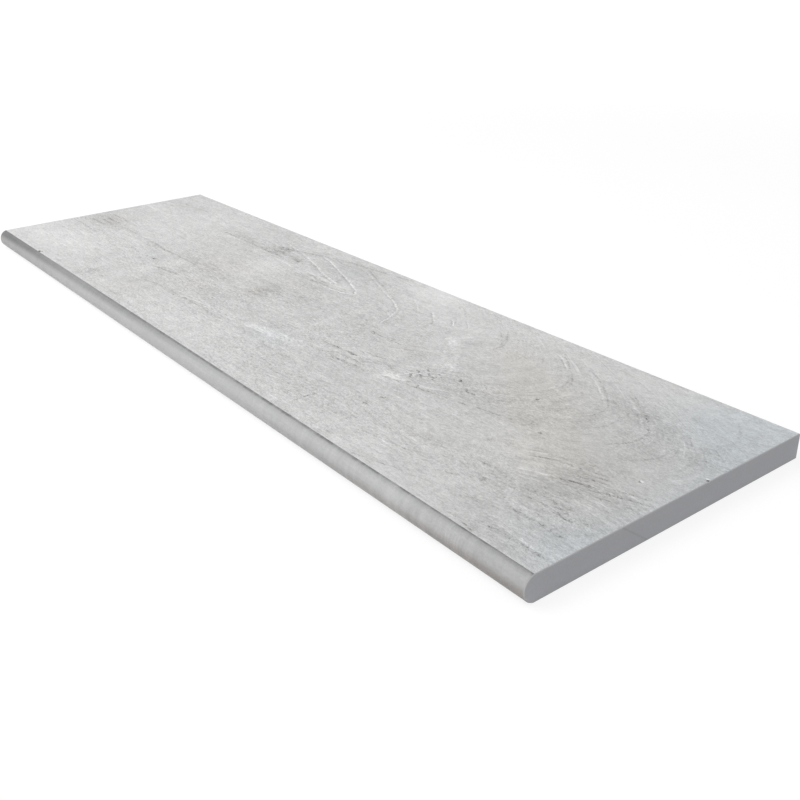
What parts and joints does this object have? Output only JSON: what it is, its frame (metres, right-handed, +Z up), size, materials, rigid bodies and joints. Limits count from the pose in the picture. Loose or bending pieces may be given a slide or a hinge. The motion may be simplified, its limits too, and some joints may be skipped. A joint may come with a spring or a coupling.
{
  "type": "bullnose tile",
  "caption": "Long flat rectangular tile with one fully rounded long edge, square other edges and a keyed back, used as a step tread, coping or sill.",
  "frame": {"origin": "under the middle of the tile, on the plane that it rests on", "axes": "+X along the rounded edge, +Y from the rounded edge to the square back edge, +Z up through the face"},
  "size_m": [0.9, 0.27, 0.02],
  "materials": {
    "porcelain": "matt, printed like trowelled cement on the face, ground smooth on the nose, sawn on the ends, as pressed on the back"
  },
  "bodies": {
    "root": {"bullnose_tile": "porcelain"}
  },
  "joints": []
}
